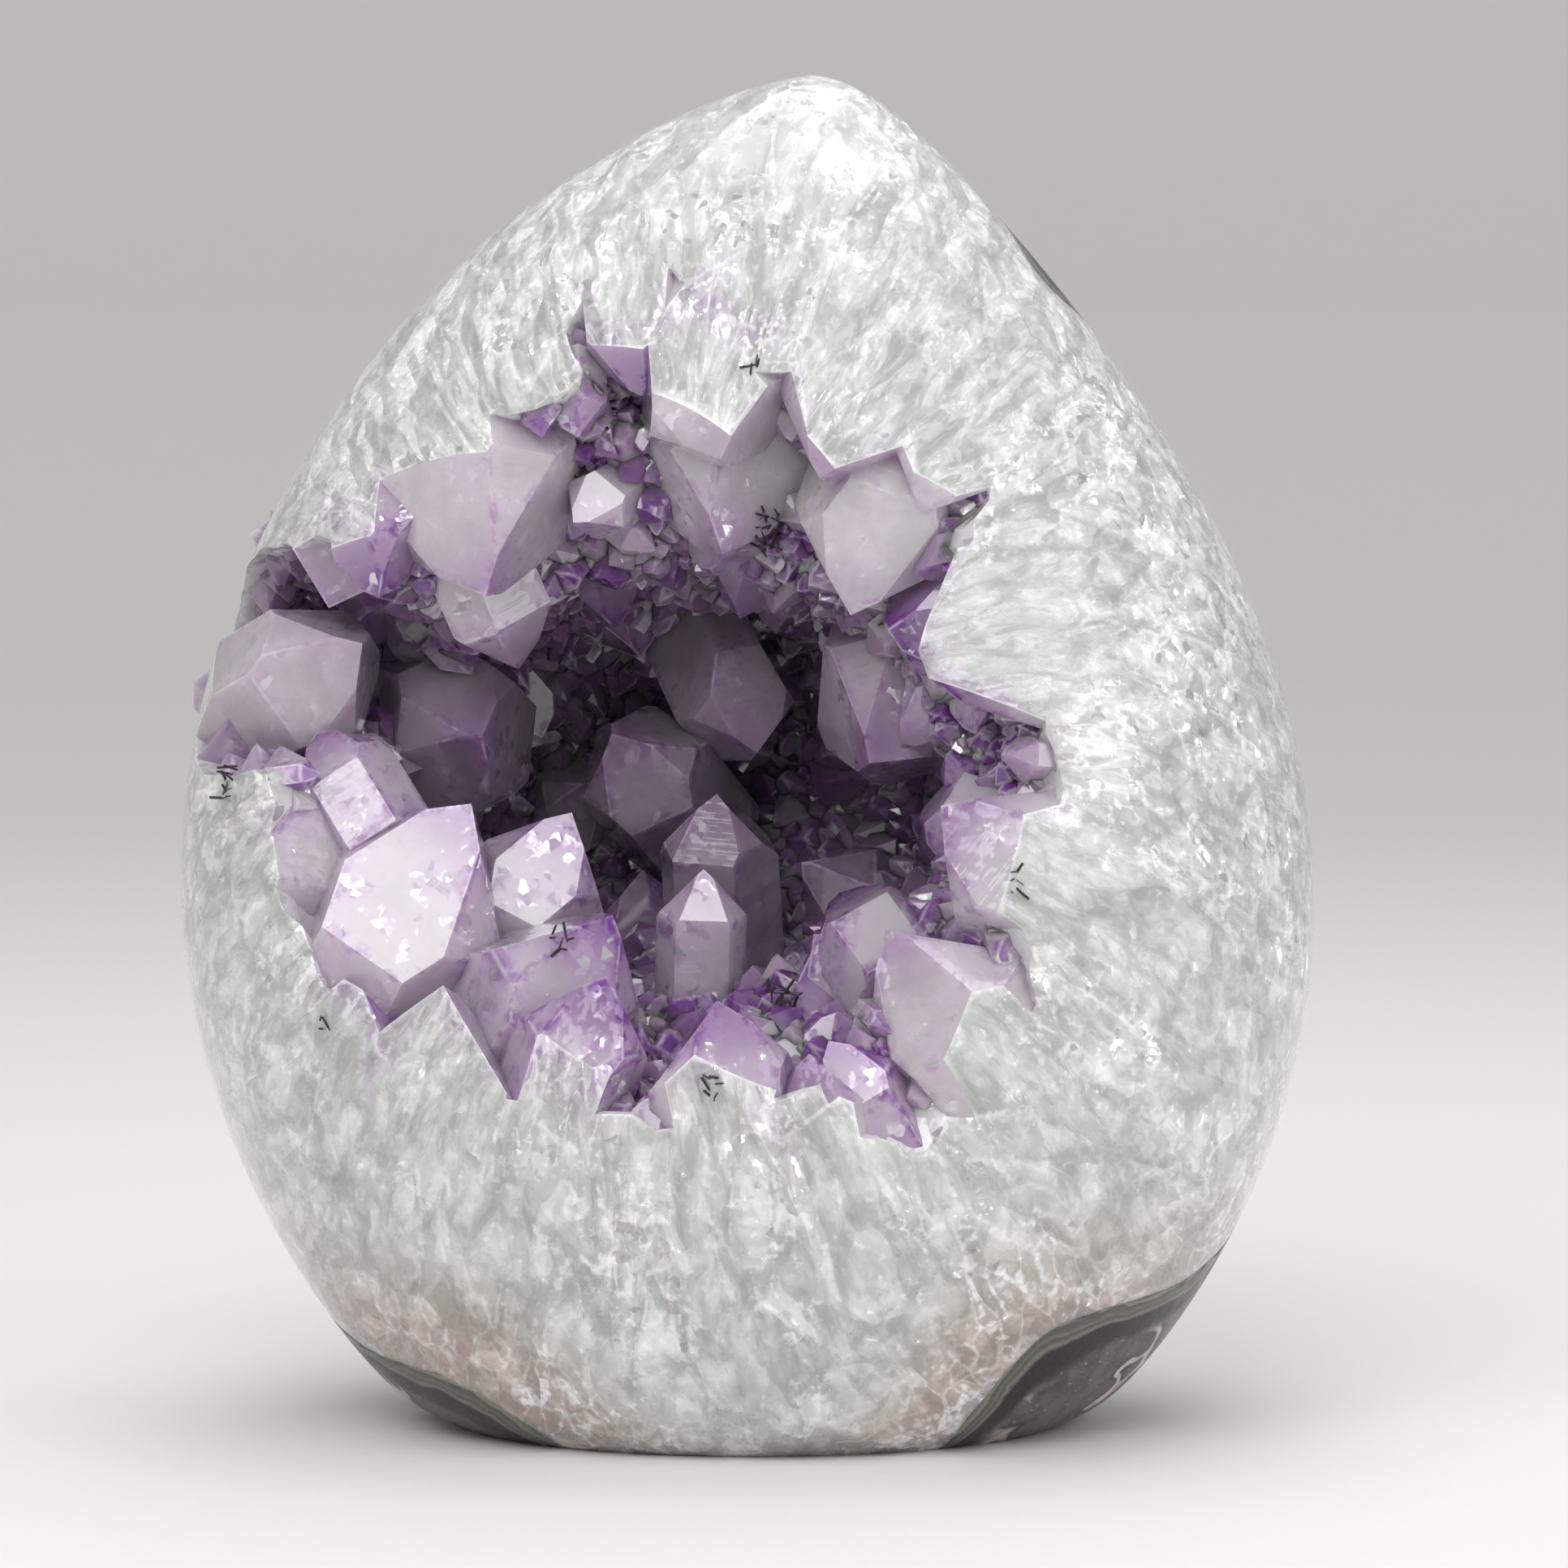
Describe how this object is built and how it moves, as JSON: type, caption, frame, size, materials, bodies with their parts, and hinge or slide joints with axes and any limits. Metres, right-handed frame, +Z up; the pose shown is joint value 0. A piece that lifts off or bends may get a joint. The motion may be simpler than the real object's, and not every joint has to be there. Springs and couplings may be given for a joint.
{
  "type": "amethyst geode",
  "caption": "Polished flame-shaped geode egg of white quartz on a flat base, with an open front cave of purple amethyst crystals and a dark agate rind behind.",
  "frame": {"origin": "middle of the flat base, on the surface that the egg stands on", "axes": "+Z up to the egg's peak, -Y out of the mouth of the cave, +X to the right as seen from the front"},
  "size_m": [0.1343, 0.1037, 0.16],
  "materials": {
    "quartz": "gloss",
    "rind": "gloss",
    "amethyst": "gloss",
    "inclusions": "satin"
  },
  "bodies": {
    "root": {"quartz_with_crystals": "quartz", "agate_rind": "rind"}
  },
  "joints": []
}
